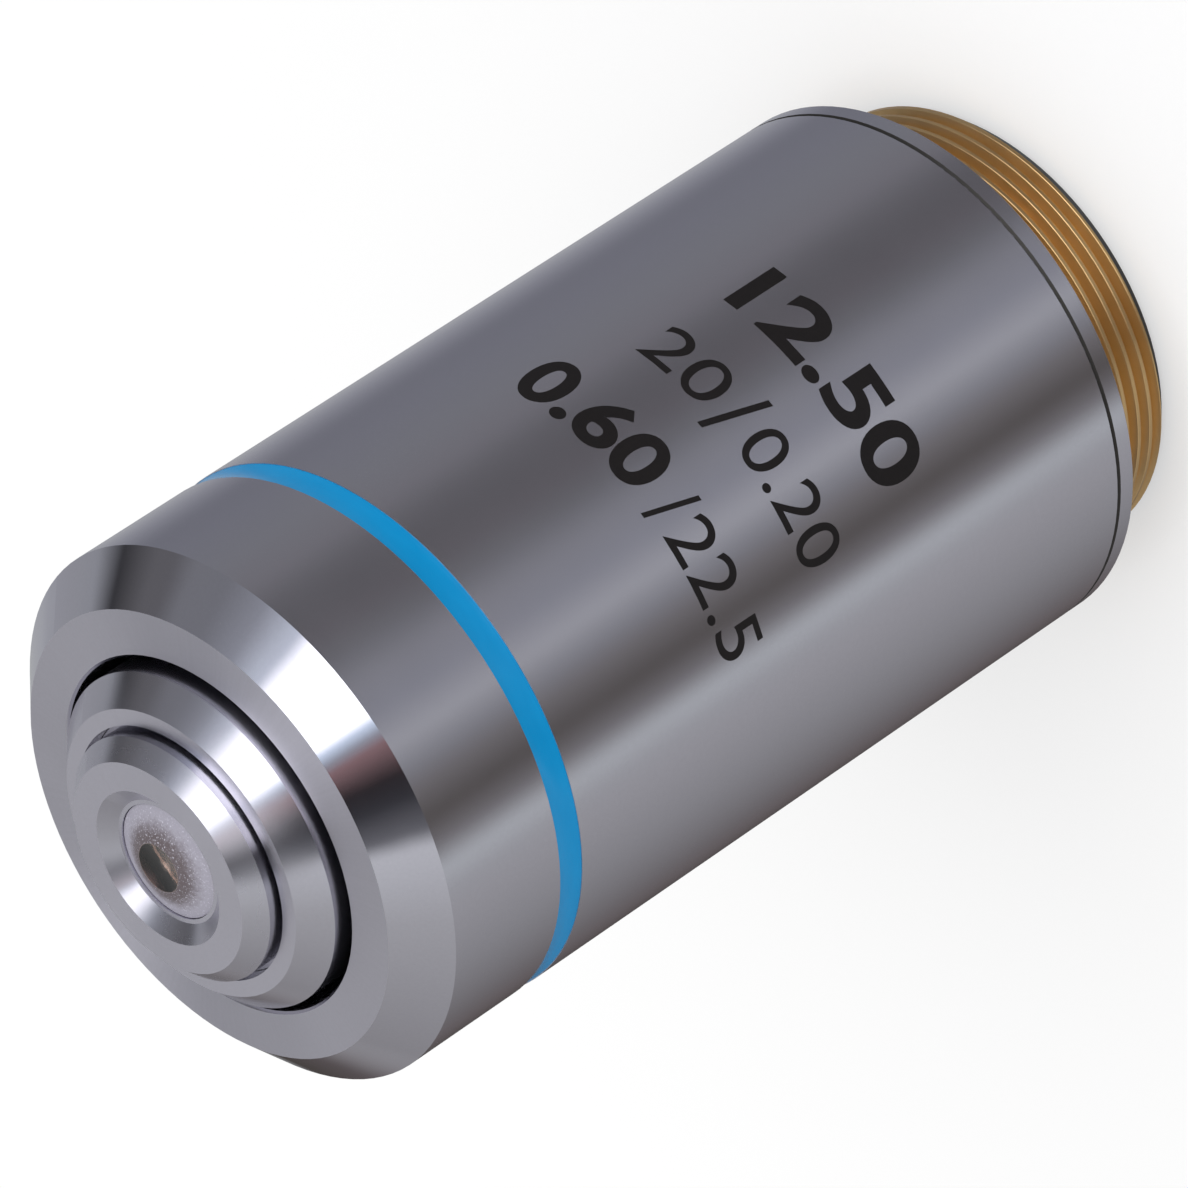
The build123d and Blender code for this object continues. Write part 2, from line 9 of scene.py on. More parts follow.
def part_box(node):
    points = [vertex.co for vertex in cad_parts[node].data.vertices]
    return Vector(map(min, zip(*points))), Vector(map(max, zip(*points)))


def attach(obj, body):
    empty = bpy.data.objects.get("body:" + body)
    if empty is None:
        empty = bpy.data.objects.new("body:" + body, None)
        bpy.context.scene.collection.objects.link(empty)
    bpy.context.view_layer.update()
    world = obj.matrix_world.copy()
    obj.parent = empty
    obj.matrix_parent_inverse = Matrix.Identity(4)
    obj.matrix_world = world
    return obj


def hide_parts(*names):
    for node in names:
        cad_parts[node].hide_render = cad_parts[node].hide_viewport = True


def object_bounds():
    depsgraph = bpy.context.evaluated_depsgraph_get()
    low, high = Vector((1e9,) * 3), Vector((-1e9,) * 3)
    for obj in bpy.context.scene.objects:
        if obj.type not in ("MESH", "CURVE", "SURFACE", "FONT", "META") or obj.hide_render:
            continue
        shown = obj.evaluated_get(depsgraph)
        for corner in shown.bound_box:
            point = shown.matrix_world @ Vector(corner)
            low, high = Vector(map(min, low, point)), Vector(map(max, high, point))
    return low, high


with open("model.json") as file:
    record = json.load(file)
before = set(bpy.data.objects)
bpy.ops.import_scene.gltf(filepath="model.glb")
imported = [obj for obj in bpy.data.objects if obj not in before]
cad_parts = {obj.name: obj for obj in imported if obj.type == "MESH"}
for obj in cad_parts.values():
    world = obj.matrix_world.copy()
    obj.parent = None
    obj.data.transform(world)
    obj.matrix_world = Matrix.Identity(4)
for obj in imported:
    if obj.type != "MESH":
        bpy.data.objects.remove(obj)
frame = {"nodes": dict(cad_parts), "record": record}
cad_low, cad_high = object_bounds()

# Looks of a microscope objective that stands on its thread end, nose up
# Lengths are in millimetres until they are multiplied by MM, and angles are in degrees
# An azimuth is counted from -Y, the side with the numbers, towards +X
MM = 0.001

# Camera of the photograph, which looks down on the nose and lies on its side
CAMERA_AZIMUTH = -7.68
CAMERA_ELEVATION = 33.76
CAMERA_ROLL = -123.54
CAMERA_DISTANCE = 434.1
CAMERA_LENS = 323.6
CAMERA_SENSOR = 36
CAMERA_AIM = (-0.48, 0.06, 19.94)

# What the camera sees starts and ends at these distances
VIEW_START = 10
VIEW_END = 10000

# Mounting thread, 36 to the inch, whose depth fades out at both ends
# Its phase is the share of a turn by which it is wound on
THREAD_CREST = frame["record"]["mounts"][0]["dims"]["r_mm"]
THREAD_PITCH = 25.4 / 36
THREAD_DEPTH = 0.45
THREAD_TOP = -0.3
THREAD_TOP_FADE = 0.35
THREAD_END_FADE = 0.1
THREAD_PHASE = 0.5

# How near the plain thread cylinder's corners lie to its radius, and a rim or a face to its height
THREAD_NEAR = 0.02
RIM_NEAR = 0.01

# Corners nearer to each other than this are welded, in the CAD's mesh and along the helix
CAD_WELD = 0.0001
THREAD_WELD = 0.0005

# Edges of the mount body that turn by more than this stay crisp
SHARP_EDGE = 20

# The mount body is brass on the thread, nickel on the flange, and black inside and at its end
# Each number is a material's place in its list
BRASS, NICKEL, BLACK = range(3)
BLACK_END = -3.95
BORE_DEPTH = 1.0
FLANGE_INSIDE = 10.4

# Joint between the flange and the sleeve, a dark line round the body
JOINT_BOTTOM = 0.83
JOINT_TOP = 0.95
JOINT_RADIUS = 11.85

# Profile of one thread: shares of the pitch, and of the depth below the crest
THREAD_PROFILE = (
    (0.0, 0.03),
    (0.03, 0.0),
    (0.24, 0.0),
    (0.27, 0.03),
    (0.42, 0.5),
    (0.57, 0.97),
    (0.6, 1.0),
    (0.67, 1.0),
    (0.7, 0.97),
    (0.85, 0.5),
)

# Front lens: height of its ground cone, and radius of the polished window on top of it
# The cone's colour holds painted shade: dark beside the window, it grows light between two ragged radii
LENS_CONE = 0.6
LENS_WINDOW = 1.1
LENS_PAINTED_SHADE = (1.35, 2.25)

# Print on the sleeve, whose numbers have their tops towards the thread
# It is cut into strips before it is wrapped
# A digit's height is a share of its font's size, and each curve of its outline has so many steps
PRINT_THICKNESS = 0.012
PRINT_STRIP = 0.25
PRINT_WELD = 0.0001
DIGIT_SHARE = 0.7
DIGIT_STEPS = 8
BOLD = 0.11
THIN = 0.0

# Numbers: the text, thickening of its font, height of its digits, its start, end and baseline
NUMBERS = (
    ("12.50", BOLD, 3.03, -5.28, 5.22, 13.63),
    ("20", THIN, 2.34, -5.56, -1.75, 18.45),
    ("/", THIN, 3.35, -1.38, -0.22, 19.05),
    ("0.20", THIN, 2.34, 0.3, 6.25, 18.45),
    ("0.60", BOLD, 2.89, -7.59, -0.35, 23.76),
    ("/", THIN, 2.75, 0.45, 1.35, 23.95),
    ("22.5", THIN, 2.36, 1.7, 7.6, 23.76),
)

# Satin nickel: tint, roughness of the walls, and shares of it on the bevels and the front faces
# Bevels are smoother outwards from the nose, and the sleeve's face is rougher than those inside it
# Grooves of the lathe stretch its highlights
NICKEL_TINT = (0.615, 0.605, 0.675, 1.0)
WALL_ROUGHNESS = 0.165
WALL_CLOUDING = 0.04
CONE_ROUGHNESS = 1.5
CHAMFER_ROUGHNESS = 0.45
CONE_RADIUS = 5.0
CHAMFER_RADIUS = 9.5
INNER_FACE_ROUGHNESS = 1.3
SLEEVE_FACE_ROUGHNESS = 2.15
INNER_FACE_RADIUS = 6.8
SLEEVE_FACE_RADIUS = 7.8
GROOVE_STRETCH = 0.85

# Share of a surface's normal along the axis, where bevels and where faces begin and are full
BEVEL_FACING = (0.3, 0.4)
FACE_FACING = (0.93, 0.97)

# Studio round the metal, from soft panels and the gaps between them
# Stops of a ring: azimuth, brightness, and its red and blue as shares of its green
# The low ring is mirrored by upright walls, the high ring by the bevels and the front faces
# The stops were chosen by comparing the render's tones on the metal with the photograph's
LOW_RING = (
    (-180, 0.06, 1.15, 0.93),
    (-160, 0.14, 1.16, 1.0),
    (-150, 0.175, 1.08, 1.0),
    (-115, 0.35, 1.0, 1.0),
    (-88, 0.45, 1.0, 1.0),
    (-79, 0.48, 0.98, 1.0),
    (-70, 0.65, 0.95, 0.99),
    (-60, 0.215, 1.06, 0.99),
    (-49, 0.105, 1.1, 0.9),
    (-36, 0.22, 1.05, 0.98),
    (-29, 0.31, 0.98, 1.04),
    (-18, 0.49, 0.98, 1.02),
    (-4, 0.32, 0.98, 1.08),
    (10, 0.27, 0.99, 1.06),
    (22, 0.165, 1.0, 1.04),
    (33, 0.122, 1.06, 1.04),
    (44, 0.122, 1.03, 1.03),
    (54, 0.158, 1.02, 1.03),
    (66, 0.235, 1.02, 1.04),
    (83, 0.262, 0.98, 1.05),
    (104, 0.25, 0.98, 1.1),
    (122, 0.225, 0.98, 1.12),
    (138, 0.33, 0.98, 1.1),
    (156, 0.45, 0.98, 1.05),
    (172, 0.42, 0.98, 1.03),
)
HIGH_RING = (
    (-180, 0.53, 1.0, 1.0),
    (-165, 0.48, 1.0, 1.0),
    (-150, 0.35, 1.01, 1.0),
    (-100, 0.52, 0.99, 0.99),
    (-82, 0.65, 0.98, 1.0),
    (-71, 0.72, 0.98, 1.0),
    (-64, 0.18, 0.99, 1.05),
    (-48, 0.05, 1.0, 1.1),
    (-36, 0.025, 1.2, 1.08),
    (-30, 0.07, 1.5, 1.0),
    (-18, 0.20, 1.65, 1.0),
    (-12, 0.42, 0.95, 1.1),
    (-6, 1.0, 0.85, 1.15),
    (0, 2.4, 1.0, 1.0),
    (39, 2.4, 1.0, 1.0),
    (49, 0.80, 0.93, 1.1),
    (54, 0.74, 0.93, 1.08),
    (66, 0.38, 0.96, 1.08),
    (82, 0.245, 0.98, 1.06),
    (95, 0.25, 0.98, 1.05),
    (102, 0.16, 1.01, 1.03),
    (109, 0.16, 1.01, 1.02),
    (114, 0.115, 1.01, 1.02),
    (121, 0.05, 1.0, 1.05),
    (130, 0.38, 0.97, 1.04),
    (145, 0.41, 0.99, 1.03),
    (165, 0.53, 0.99, 1.02),
)

# A soft glow beside the camera, for the bevels of the nose
# It is even out to the first of two angles from its centre, and gone at the second
GLOW_AZIMUTH = -18
GLOW_ELEVATION = 33
GLOW_CORE = 8
GLOW_EDGE = 22
GLOW_LIGHT = 2.0

# The low ring gives way to the high ring between these elevations
RING_BOTTOM = -12
RING_TOP = 6

# The brightest stop, by which the others are divided, since the colours of a ramp end at 1
STUDIO_PEAK = 2.4

# An even patch overhead: sines of the elevations where it starts and is full, and its share of the peak
OVERHEAD_START = 0.955
OVERHEAD_END = 0.99
OVERHEAD_SHARE = (0.3, 0.3, 0.31, 1.0)

# Even light on matt surfaces, a large soft lamp, and the floor with the share of it that looks white
ROOM_LIGHT = 0.72
SUN_LIGHT = 1.15
SUN_AZIMUTH = 20
SUN_ELEVATION = 58
SUN_WIDTH = 50
FLOOR_RADIUS = 3000
FLOOR_GLOW = 0.5
WHITE = (1.0, 1.0, 1.0, 1.0)


def tone(value):
    """Linear share of light for a tone of 0 to 255 on the screen."""
    share = value / 255
    return ((share + 0.055) / 1.055) ** 2.4


def colour(red, green, blue):
    """Linear colour for tones of 0 to 255 on the screen."""
    return (tone(red), tone(green), tone(blue), 1.0)


class Shader:
    """A node tree, with calls that each add a node and give its output."""

    def __init__(self, owner):
        owner.use_nodes = True
        self.tree = owner.node_tree
        self.tree.nodes.clear()

    def add(self, kind, **settings):
        node = self.tree.nodes.new(kind)
        for name, value in settings.items():
            setattr(node, name, value)
        return node

    def feed(self, socket, value):
        """Gives a socket a value, or links it to an output."""
        if isinstance(value, bpy.types.NodeSocket):
            self.tree.links.new(value, socket)
        else:
            socket.default_value = value

    def math(self, operation, *values):
        node = self.add("ShaderNodeMath", operation=operation)
        for socket, value in zip(node.inputs, values):
            self.feed(socket, value)
        return node.outputs[0]

    def step(self, value, low, high):
        """Soft step from 0 to 1 between two values."""
        node = self.add("ShaderNodeMapRange", interpolation_type="SMOOTHSTEP")
        for socket, number in zip(node.inputs, (value, low, high, 0.0, 1.0)):
            self.feed(socket, number)
        return node.outputs["Result"]

    def between(self, share, first, second):
        """Number between two numbers."""
        node = self.add("ShaderNodeMapRange")
        for socket, number in zip(node.inputs, (share, 0.0, 1.0, first, second)):
            self.feed(socket, number)
        return node.outputs["Result"]

    def mix(self, share, first, second, blend="MIX"):
        """Colour between two colours."""
        node = self.add("ShaderNodeMixRGB", blend_type=blend)
        for socket, value in zip(node.inputs, (share, first, second)):
            self.feed(socket, value)
        return node.outputs[0]

    def split(self, vector):
        node = self.add("ShaderNodeSeparateXYZ")
        self.feed(node.inputs[0], vector)
        return node.outputs

    def join(self, *parts):
        node = self.add("ShaderNodeCombineXYZ")
        for socket, value in zip(node.inputs, parts):
            self.feed(socket, value)
        return node.outputs[0]

    def place(self):
        """X, Y and Z of the surface in millimetres."""
        parts = self.split(self.add("ShaderNodeTexCoord").outputs["Object"])
        return tuple(self.math("MULTIPLY", part, 1 / MM) for part in parts)

    def off_axis(self, x, y):
        """Distance from the optical axis."""
        squares = [self.math("POWER", part, 2.0) for part in (x, y)]
        return self.math("SQRT", self.math("ADD", *squares))

    def noise(self, vector, scale=1.0, detail=2.0):
        """Noise from 0 to 1."""
        node = self.add("ShaderNodeTexNoise")
        self.feed(node.inputs["Vector"], vector)
        node.inputs["Scale"].default_value = scale
        node.inputs["Detail"].default_value = detail
        return node.outputs["Fac"]

    def bump(self, height, depth):
        """Normal of a surface with that height, from 0 to 1, times a depth in millimetres."""
        node = self.add("ShaderNodeBump")
        node.inputs["Distance"].default_value = depth * MM
        self.feed(node.inputs["Height"], height)
        return node.outputs["Normal"]

    def ramp(self, value, stops):
        """Colour ramp through places and colours."""
        node = self.add("ShaderNodeValToRGB")
        self.feed(node.inputs["Fac"], value)
        points = node.color_ramp.elements
        while len(points) < len(stops):
            points.new(0.5)
        for point, (place, shade) in zip(points, stops):
            point.position = place
            point.color = shade
        return node.outputs["Color"]

    def surface(self, **inputs):
        """The finished surface: a Principled shader with these inputs."""
        principled = self.add("ShaderNodeBsdfPrincipled")
        for name, value in inputs.items():
            self.feed(principled.inputs[name.replace("_", " ")], value)
        output = self.add("ShaderNodeOutputMaterial")
        self.tree.links.new(principled.outputs[0], output.inputs["Surface"])


def new_material(name):
    """A new material and its node tree."""
    material = bpy.data.materials.new(name)
    return material, Shader(material)


def turning_marks(shader, radius, z, fineness):
    """Marks of the lathe: rings along a wall, a bevel or a face."""
    node = shader.add("ShaderNodeTexNoise", noise_dimensions="1D")
    shader.feed(node.inputs["W"], shader.math("ADD", z, radius))
    node.inputs["Scale"].default_value = fineness
    node.inputs["Detail"].default_value = 3.0
    return node.outputs["Fac"]


def radial_marks(shader, x, y, radius):
    """Faint spokes on a face, from -0.5 to 0.5."""
    around = shader.join(shader.math("DIVIDE", x, radius), shader.math("DIVIDE", y, radius), 0.0)
    return shader.math("SUBTRACT", shader.noise(around, scale=70.0, detail=4.0), 0.5)


def satin_nickel():
    """Nickel plate: satin on walls and faces, bright on the bevels."""
    material, shader = new_material("satin_nickel")
    x, y, z = shader.place()
    radius = shader.off_axis(x, y)
    spot = shader.join(x, y, z)
    geometry = shader.add("ShaderNodeNewGeometry")
    upward = shader.math("ABSOLUTE", shader.split(geometry.outputs["True Normal"])[2])
    face = shader.step(upward, *FACE_FACING)
    bevel = shader.math("SUBTRACT", shader.step(upward, *BEVEL_FACING), face)
    cloud = shader.noise(spot, scale=0.35, detail=4.0)
    grain = shader.noise(spot, scale=7.0, detail=3.0)
    spokes = shader.math("MULTIPLY", radial_marks(shader, x, y, radius), face)

    outward = shader.step(radius, CONE_RADIUS, CHAMFER_RADIUS)
    bevel_share = shader.between(outward, CONE_ROUGHNESS, CHAMFER_ROUGHNESS)
    outward = shader.step(radius, INNER_FACE_RADIUS, SLEEVE_FACE_RADIUS)
    face_share = shader.between(outward, INNER_FACE_ROUGHNESS, SLEEVE_FACE_ROUGHNESS)
    roughness = shader.math("ADD", WALL_ROUGHNESS, shader.math("MULTIPLY", cloud, WALL_CLOUDING))
    roughness = shader.math("MULTIPLY", roughness, shader.between(bevel, 1.0, bevel_share))
    roughness = shader.math("MULTIPLY", roughness, shader.between(face, 1.0, face_share))
    roughness = shader.math("ADD", roughness, shader.math("MULTIPLY", spokes, 0.08))

    shade = shader.math("ADD", 0.96, shader.math("MULTIPLY", grain, 0.06))
    shade = shader.math("ADD", shade, shader.math("MULTIPLY", spokes, 0.1))
    tint = shader.mix(1.0, NICKEL_TINT, shader.join(shade, shade, shade), "MULTIPLY")
    tangent = shader.add("ShaderNodeTangent", direction_type="RADIAL", axis="Z")
    shader.surface(
        Base_Color=tint,
        Metallic=1.0,
        Roughness=roughness,
        Anisotropic=GROOVE_STRETCH,
        Anisotropic_Rotation=0.25,
        Tangent=tangent.outputs["Tangent"],
        Normal=shader.bump(turning_marks(shader, radius, z, 5.0), 0.0004),
    )
    return material


def times(tint, number):
    """Tint with its light times a number."""
    return tuple(part * number for part in tint[:3]) + (1.0,)


def brass(name, tint, roughness):
    """Bare turned brass."""
    material, shader = new_material(name)
    x, y, z = shader.place()
    cloud = shader.noise(shader.join(x, y, z), scale=1.2, detail=5.0)
    marks = turning_marks(shader, shader.off_axis(x, y), z, 9.0)
    shader.surface(
        Base_Color=shader.mix(cloud, times(tint, 0.86), tint),
        Metallic=1.0,
        Roughness=shader.math("ADD", roughness, shader.math("MULTIPLY", cloud, 0.08)),
        Normal=shader.bump(marks, 0.0012),
    )
    return material


def steel(name, tint, roughness):
    """Plain or drawn steel."""
    material, shader = new_material(name)
    x, y, z = shader.place()
    streak = turning_marks(shader, shader.off_axis(x, y), z, 20.0)
    shader.surface(
        Base_Color=shader.mix(streak, tint, times(tint, 0.85)),
        Metallic=1.0,
        Roughness=shader.math("ADD", roughness, shader.math("MULTIPLY", streak, 0.1)),
    )
    return material


def blackened(name, tint, metallic, roughness):
    """Chemically blackened brass or black anodised aluminium."""
    material, shader = new_material(name)
    x, y, z = shader.place()
    cloud = shader.noise(shader.join(x, y, z), scale=2.0, detail=4.0)
    marks = turning_marks(shader, shader.off_axis(x, y), z, 8.0)
    shader.surface(
        Base_Color=shader.mix(cloud, tint, times(tint, 1.5)),
        Metallic=metallic,
        Roughness=shader.math("ADD", roughness, shader.math("MULTIPLY", cloud, 0.15)),
        Normal=shader.bump(marks, 0.001),
    )
    return material


def enamel():
    """Glossy cyan enamel that has flowed level in its groove."""
    material, shader = new_material("cyan_enamel")
    x, y, z = shader.place()
    flow = shader.noise(shader.join(x, y, shader.math("MULTIPLY", z, 3.0)), scale=0.5, detail=3.0)
    shader.surface(
        Base_Color=shader.mix(flow, colour(0, 130, 188), colour(0, 142, 202)),
        Roughness=shader.math("ADD", 0.12, shader.math("MULTIPLY", flow, 0.06)),
        Specular_IOR_Level=0.3,
        Normal=shader.bump(flow, 0.004),
    )
    return material


def ink():
    """Black print, slightly uneven."""
    material, shader = new_material("print_ink")
    speck = shader.noise(shader.join(*shader.place()), scale=9.0, detail=3.0)
    shader.surface(
        Base_Color=shader.mix(speck, colour(16, 14, 15), colour(30, 26, 27)),
        Roughness=shader.math("ADD", 0.45, shader.math("MULTIPLY", speck, 0.2)),
        Specular_IOR_Level=0.2,
        Normal=shader.bump(speck, 0.002),
    )
    return material


def glass(name, tint, index):
    """Polished and coated optical glass."""
    material, shader = new_material(name)
    haze = shader.noise(shader.join(*shader.place()), scale=1.5, detail=2.0)
    shader.surface(
        Base_Color=tint,
        Roughness=shader.math("MULTIPLY", haze, 0.02),
        IOR=index,
        Transmission_Weight=1.0,
    )
    return material


def ground_lens():
    """Front lens: clear glass, finely ground on the cone round its window, with painted shade that
    darkens the cone towards the window.
    """
    material, shader = new_material("front_lens_glass")
    x, y, z = shader.place()
    radius = shader.off_axis(x, y)
    spot = shader.join(x, y, z)
    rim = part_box("front_lens")[1].z / MM - LENS_CONE
    front = shader.step(z, rim - 0.04, rim - 0.01)
    frost = shader.math("MULTIPLY", front, shader.step(radius, LENS_WINDOW - 0.02, LENS_WINDOW + 0.02))
    coarse = shader.noise(spot, scale=6.0, detail=4.0)
    grit = shader.noise(spot, scale=14.0, detail=3.0)
    ragged = shader.math("MULTIPLY", shader.math("SUBTRACT", coarse, 0.5), 0.7)
    # Painted shade: the ground cone is darker beside the window and lighter towards its rim
    painted_shade_fade = shader.step(shader.math("ADD", radius, ragged), *LENS_PAINTED_SHADE)
    ground = shader.mix(painted_shade_fade, colour(98, 88, 92), colour(166, 163, 176))
    ground = shader.mix(shader.step(grit, 0.55, 0.75), ground, colour(205, 203, 216))
    shader.surface(
        Base_Color=shader.mix(frost, colour(214, 190, 178), ground),
        Roughness=shader.between(frost, 0.0, 0.55),
        IOR=1.62,
        Transmission_Weight=shader.between(frost, 1.0, 0.0),
        Normal=shader.bump(shader.math("MULTIPLY", grit, frost), 0.012),
    )
    return material


def thread_point(turn, row, bottom):
    """Radius and height of the thread, on the row of its profile that winds through this azimuth."""
    pitches, place = divmod(row, len(THREAD_PROFILE))
    along, depth = THREAD_PROFILE[place]
    height = THREAD_TOP + THREAD_PITCH * (turn / (2 * pi) + THREAD_PHASE - along - pitches)
    height = min(THREAD_TOP, max(bottom, height))
    fade = min(1.0, (THREAD_TOP - height) / THREAD_TOP_FADE, (height - bottom) / THREAD_END_FADE)
    return THREAD_CREST - THREAD_DEPTH * depth * fade, height


def cut_plain_thread(work):
    """Cuts the plain cylinder out of the mount body, and gives its angles, top and bottom."""
    plain = [
        face
        for face in work.faces
        if all(abs(hypot(v.co.x, v.co.y) / MM - THREAD_CREST) < THREAD_NEAR for v in face.verts)
    ]
    rim = {v for face in plain for v in face.verts}
    top = max(v.co.z for v in rim) / MM
    bottom = min(v.co.z for v in rim) / MM
    turns = sorted(atan2(v.co.y, v.co.x) % (2 * pi) for v in rim if v.co.z / MM > top - RIM_NEAR)
    bmesh.ops.delete(work, geom=plain, context="FACES")
    return turns, top, bottom


def wind_thread(work, turns, top, bottom):
    """Fills the place of the plain cylinder with rows that follow the helix."""

    def point(turn, radius, height):
        return work.verts.new(Vector((radius * cos(turn), radius * sin(turn), height)) * MM)

    turn_rows = len(THREAD_PROFILE)
    rows = turn_rows * (int((THREAD_TOP - bottom) / THREAD_PITCH) + 3)
    columns = []
    for turn in turns:
        column = [point(turn, THREAD_CREST, top)]
        column += [point(turn, *thread_point(turn, row, bottom)) for row in range(-turn_rows, rows)]
        columns.append(column)
    for index, column in enumerate(columns):
        following = columns[(index + 1) % len(columns)]
        if index == len(columns) - 1:
            # A whole turn on, the helix is one pitch higher, so its rows meet those of the pitch above
            following = [following[0]] + [following[1]] * turn_rows + following[1:-turn_rows]
        for corners in zip(column, column[1:], following[1:], following):
            if len(set(corners)) > 2:
                work.faces.new(sorted(set(corners), key=corners.index))
    bmesh.ops.remove_doubles(work, verts=work.verts, dist=THREAD_WELD * MM)


def mount_finish(place):
    """Material of the mount body at a place in millimetres."""
    radius = hypot(place.x, place.y)
    if JOINT_BOTTOM < place.z < JOINT_TOP and radius > JOINT_RADIUS:
        return BLACK
    if place.z > 0 or (place.z > -RIM_NEAR and radius > THREAD_CREST):
        return NICKEL if radius > FLANGE_INSIDE else BLACK
    if place.z < BLACK_END or radius < THREAD_CREST - BORE_DEPTH:
        return BLACK
    return BRASS


def threaded_mount(node, materials):
    """The mount body with its plain thread cylinder cut out and a real helix in its place."""
    mesh = node.data.copy()
    piece = bpy.data.objects.new("threaded_mount_body", mesh)
    bpy.context.scene.collection.objects.link(piece)
    work = bmesh.new()
    work.from_mesh(mesh)
    bmesh.ops.remove_doubles(work, verts=work.verts, dist=CAD_WELD * MM)
    wind_thread(work, *cut_plain_thread(work))
    bmesh.ops.recalc_face_normals(work, faces=work.faces)
    work.to_mesh(mesh)
    work.free()
    mesh.materials.clear()
    for material in materials:
        mesh.materials.append(material)
    for polygon in mesh.polygons:
        polygon.material_index = mount_finish(polygon.center / MM)
    mesh.attributes.remove(mesh.attributes["custom_normal"])
    mesh.shade_smooth()
    mesh.set_sharp_from_angle(angle=radians(SHARP_EDGE))
    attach(piece, "housing")
    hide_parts("mount_body")


def flat_number(text, thickening, tall):
    """Mesh of a group of numbers, lying flat."""
    curve = bpy.data.curves.new("number", "FONT")
    curve.body = text
    curve.size = tall / DIGIT_SHARE
    curve.offset = thickening
    curve.extrude = PRINT_THICKNESS / 2
    curve.resolution_u = DIGIT_STEPS
    flat = bpy.data.objects.new("number_flat", curve)
    bpy.context.scene.collection.objects.link(flat)
    bpy.context.view_layer.update()
    mesh = bpy.data.meshes.new_from_object(flat.evaluated_get(bpy.context.evaluated_depsgraph_get()))
    bpy.data.objects.remove(flat)
    bpy.data.curves.remove(curve)
    return mesh


def print_number(index, text, thickening, tall, start, end, baseline, material, radius):
    """One group of numbers as thin ink wrapped on the sleeve."""
    mesh = flat_number(text, thickening, tall)
    work = bmesh.new()
    work.from_mesh(mesh)
    bmesh.ops.remove_doubles(work, verts=work.verts, dist=PRINT_WELD)
    left = min(v.co.x for v in work.verts)
    right = max(v.co.x for v in work.verts)
    low = min(v.co.y for v in work.verts)
    high = max(v.co.y for v in work.verts)
    width = end - start
    for vert in work.verts:
        vert.co.x = (vert.co.x - left) * width / (right - left)
        vert.co.y = (vert.co.y - low) * tall / (high - low)
    cut = PRINT_STRIP
    while cut < width:
        everything = work.verts[:] + work.edges[:] + work.faces[:]
        bmesh.ops.bisect_plane(work, geom=everything, plane_co=(cut, 0, 0), plane_no=(1, 0, 0))
        cut += PRINT_STRIP
    for vert in work.verts:
        turn = -(start + vert.co.x) / radius
        outward = radius + vert.co.z
        vert.co = Vector((outward * sin(turn), -outward * cos(turn), baseline - vert.co.y)) * MM
    bmesh.ops.recalc_face_normals(work, faces=work.faces)
    work.to_mesh(mesh)
    work.free()
    mesh.materials.clear()
    mesh.materials.append(material)
    piece = bpy.data.objects.new(f"printed_numbers_{index}", mesh)
    bpy.context.scene.collection.objects.link(piece)
    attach(piece, "housing")


def dress(materials):
    """Gives each CAD node the material of its slot."""
    for part in frame["record"]["subparts"]:
        mesh = frame["nodes"][part["node"]].data
        mesh.materials.clear()
        mesh.materials.append(materials[part["material_slot"]])


def ring_colours(ring):
    """Stops of a colour ramp for one ring of the studio, from azimuth -180 to 180."""
    stops = []
    for azimuth, brightness, red, blue in ring:
        share = brightness / STUDIO_PEAK
        stops.append((azimuth / 360 + 0.5, (share * red, share, share * blue, 1.0)))
    stops.append((1.0, stops[0][1]))
    return stops


def studio_mirror(shader):
    """What metal mirrors: two rings of soft panels, a glow at the front and an even patch overhead."""
    x, y, z = shader.split(shader.add("ShaderNodeTexCoord").outputs["Generated"])
    azimuth = shader.math("ARCTAN2", x, shader.math("MULTIPLY", y, -1.0))
    share = shader.math("ADD", shader.math("DIVIDE", azimuth, 2 * pi), 0.5)
    low = shader.ramp(share, ring_colours(LOW_RING))
    high = shader.ramp(share, ring_colours(HIGH_RING))
    height = shader.step(z, sin(radians(RING_BOTTOM)), sin(radians(RING_TOP)))
    mirrored = shader.mix(height, low, high)
    centre = facing(GLOW_AZIMUTH, GLOW_ELEVATION)
    near = shader.math("ADD", shader.math("MULTIPLY", x, centre.x), shader.math("MULTIPLY", y, centre.y))
    near = shader.math("ADD", near, shader.math("MULTIPLY", z, centre.z))
    glow = shader.step(near, cos(radians(GLOW_EDGE)), cos(radians(GLOW_CORE)))
    glow_share = GLOW_LIGHT / STUDIO_PEAK
    mirrored = shader.mix(glow, mirrored, (glow_share, glow_share, glow_share, 1.0))
    return shader.mix(shader.step(z, OVERHEAD_START, OVERHEAD_END), mirrored, OVERHEAD_SHARE)


def studio_world():
    """White to the camera, even light on matt surfaces, and the studio's panels for metal to mirror."""
    world = bpy.data.worlds.new("studio")
    bpy.context.scene.world = world
    shader = Shader(world)
    ray = shader.add("ShaderNodeLightPath").outputs
    panels = shader.add("ShaderNodeBackground")
    shader.feed(panels.inputs["Color"], studio_mirror(shader))
    panels.inputs["Strength"].default_value = STUDIO_PEAK
    room = shader.add("ShaderNodeBackground")
    room.inputs["Color"].default_value = WHITE
    white = shader.math("MAXIMUM", ray["Is Camera Ray"], ray["Is Transmission Ray"])
    shader.feed(room.inputs["Strength"], shader.between(white, ROOM_LIGHT, 1.0))
    mixed = shader.add("ShaderNodeMixShader")
    shader.feed(mixed.inputs[0], ray["Is Glossy Ray"])
    shader.feed(mixed.inputs[1], room.outputs[0])
    shader.feed(mixed.inputs[2], panels.outputs[0])
    output = shader.add("ShaderNodeOutputWorld")
    shader.feed(output.inputs["Surface"], mixed.outputs[0])
    # What a ray meets depends on its kind, so the world isn't sampled as a lamp
    world.cycles.sampling_method = "NONE"


def facing(azimuth, elevation):
    """Unit vector from the object towards an azimuth and an elevation."""
    turn, rise = radians(azimuth), radians(elevation)
    return Vector((sin(turn) * cos(rise), -cos(turn) * cos(rise), sin(rise)))


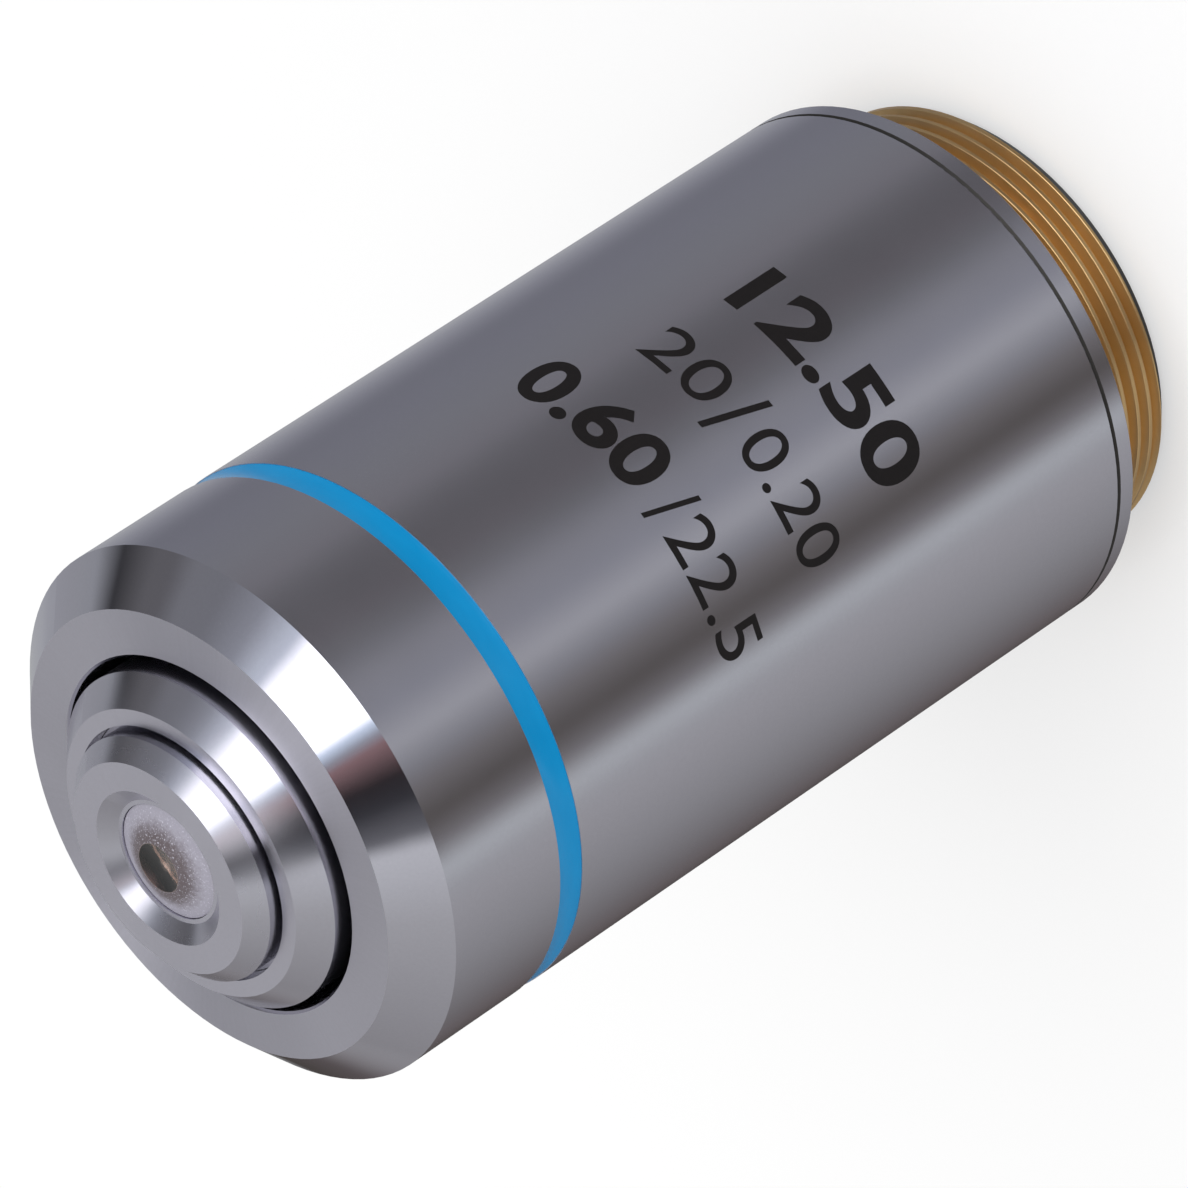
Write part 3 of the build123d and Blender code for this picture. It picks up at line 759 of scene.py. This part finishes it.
def studio_lamp():
    """A large soft lamp high at the front, for matt surfaces and the shadow."""
    lamp = bpy.data.lights.new("key", "SUN")
    lamp.energy = SUN_LIGHT
    lamp.angle = radians(SUN_WIDTH)
    key = bpy.data.objects.new("key", lamp)
    key.rotation_mode = "QUATERNION"
    key.rotation_quaternion = facing(SUN_AZIMUTH, SUN_ELEVATION).to_track_quat("Z", "Y")
    key.visible_glossy = False
    bpy.context.scene.collection.objects.link(key)


def studio_floor():
    """White floor under the thread end."""
    mesh = bpy.data.meshes.new("floor")
    half = FLOOR_RADIUS * MM
    corners = [(-half, -half, 0), (half, -half, 0), (half, half, 0), (-half, half, 0)]
    mesh.from_pydata(corners, [], [(0, 1, 2, 3)])
    floor = bpy.data.objects.new("floor", mesh)
    floor.location.z = cad_low.z
    bpy.context.scene.collection.objects.link(floor)
    material, shader = new_material("white_floor")
    matt = shader.add("ShaderNodeBsdfDiffuse")
    matt.inputs["Color"].default_value = WHITE
    white = shader.add("ShaderNodeEmission")
    seen = shader.add("ShaderNodeLightPath").outputs["Is Camera Ray"]
    mixed = shader.add("ShaderNodeMixShader")
    shader.feed(mixed.inputs[0], shader.math("MULTIPLY", seen, FLOOR_GLOW))
    shader.feed(mixed.inputs[1], matt.outputs[0])
    shader.feed(mixed.inputs[2], white.outputs[0])
    output = shader.add("ShaderNodeOutputMaterial")
    shader.feed(output.inputs["Surface"], mixed.outputs[0])
    mesh.materials.append(material)
    floor.visible_glossy = False


def photograph_camera():
    """Camera at the photograph's viewing angle, rolled as the photograph is."""
    camera = bpy.data.objects.new("camera", bpy.data.cameras.new("camera"))
    camera.data.lens = CAMERA_LENS
    camera.data.sensor_width = CAMERA_SENSOR
    back = facing(CAMERA_AZIMUTH, CAMERA_ELEVATION)
    level = back.to_track_quat("Z", "Y").to_matrix().to_4x4()
    roll = Matrix.Rotation(radians(CAMERA_ROLL), 4, "Z")
    place = Matrix.Translation((Vector(CAMERA_AIM) + back * CAMERA_DISTANCE) * MM)
    camera.matrix_world = place @ level @ roll
    camera.data.clip_start = VIEW_START * MM
    camera.data.clip_end = VIEW_END * MM
    bpy.context.scene.collection.objects.link(camera)
    bpy.context.scene.camera = camera


materials = {
    "bare_brass": brass("bare_brass", (0.84, 0.57, 0.275, 1.0), 0.32),
    "satin_nickel": satin_nickel(),
    "cyan_enamel": enamel(),
    "screw_steel": steel("screw_steel", (0.5, 0.5, 0.51, 1.0), 0.25),
    "spring_steel": steel("spring_steel", (0.52, 0.52, 0.52, 1.0), 0.3),
    "blackened_brass": blackened("blackened_brass", (0.03, 0.028, 0.026, 1.0), 0.6, 0.4),
    "black_aluminium": blackened("black_aluminium", (0.025, 0.025, 0.027, 1.0), 0.0, 0.6),
    "crown_glass": glass("crown_glass", (0.97, 0.98, 1.0, 1.0), 1.52),
    "flint_glass": glass("flint_glass", (1.0, 1.0, 0.96, 1.0), 1.65),
}
dress(materials)
front_lens = frame["nodes"]["front_lens"].data
front_lens.materials.clear()
front_lens.materials.append(ground_lens())
threaded_mount(
    frame["nodes"]["mount_body"],
    (materials["bare_brass"], materials["satin_nickel"], materials["blackened_brass"]),
)
print_ink = ink()
for index, number in enumerate(NUMBERS, start=1):
    print_number(index, *number, print_ink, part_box("outer_sleeve")[1].x / MM)
studio_world()
studio_lamp()
studio_floor()
photograph_camera()
bpy.context.scene.view_settings.view_transform = "Standard"
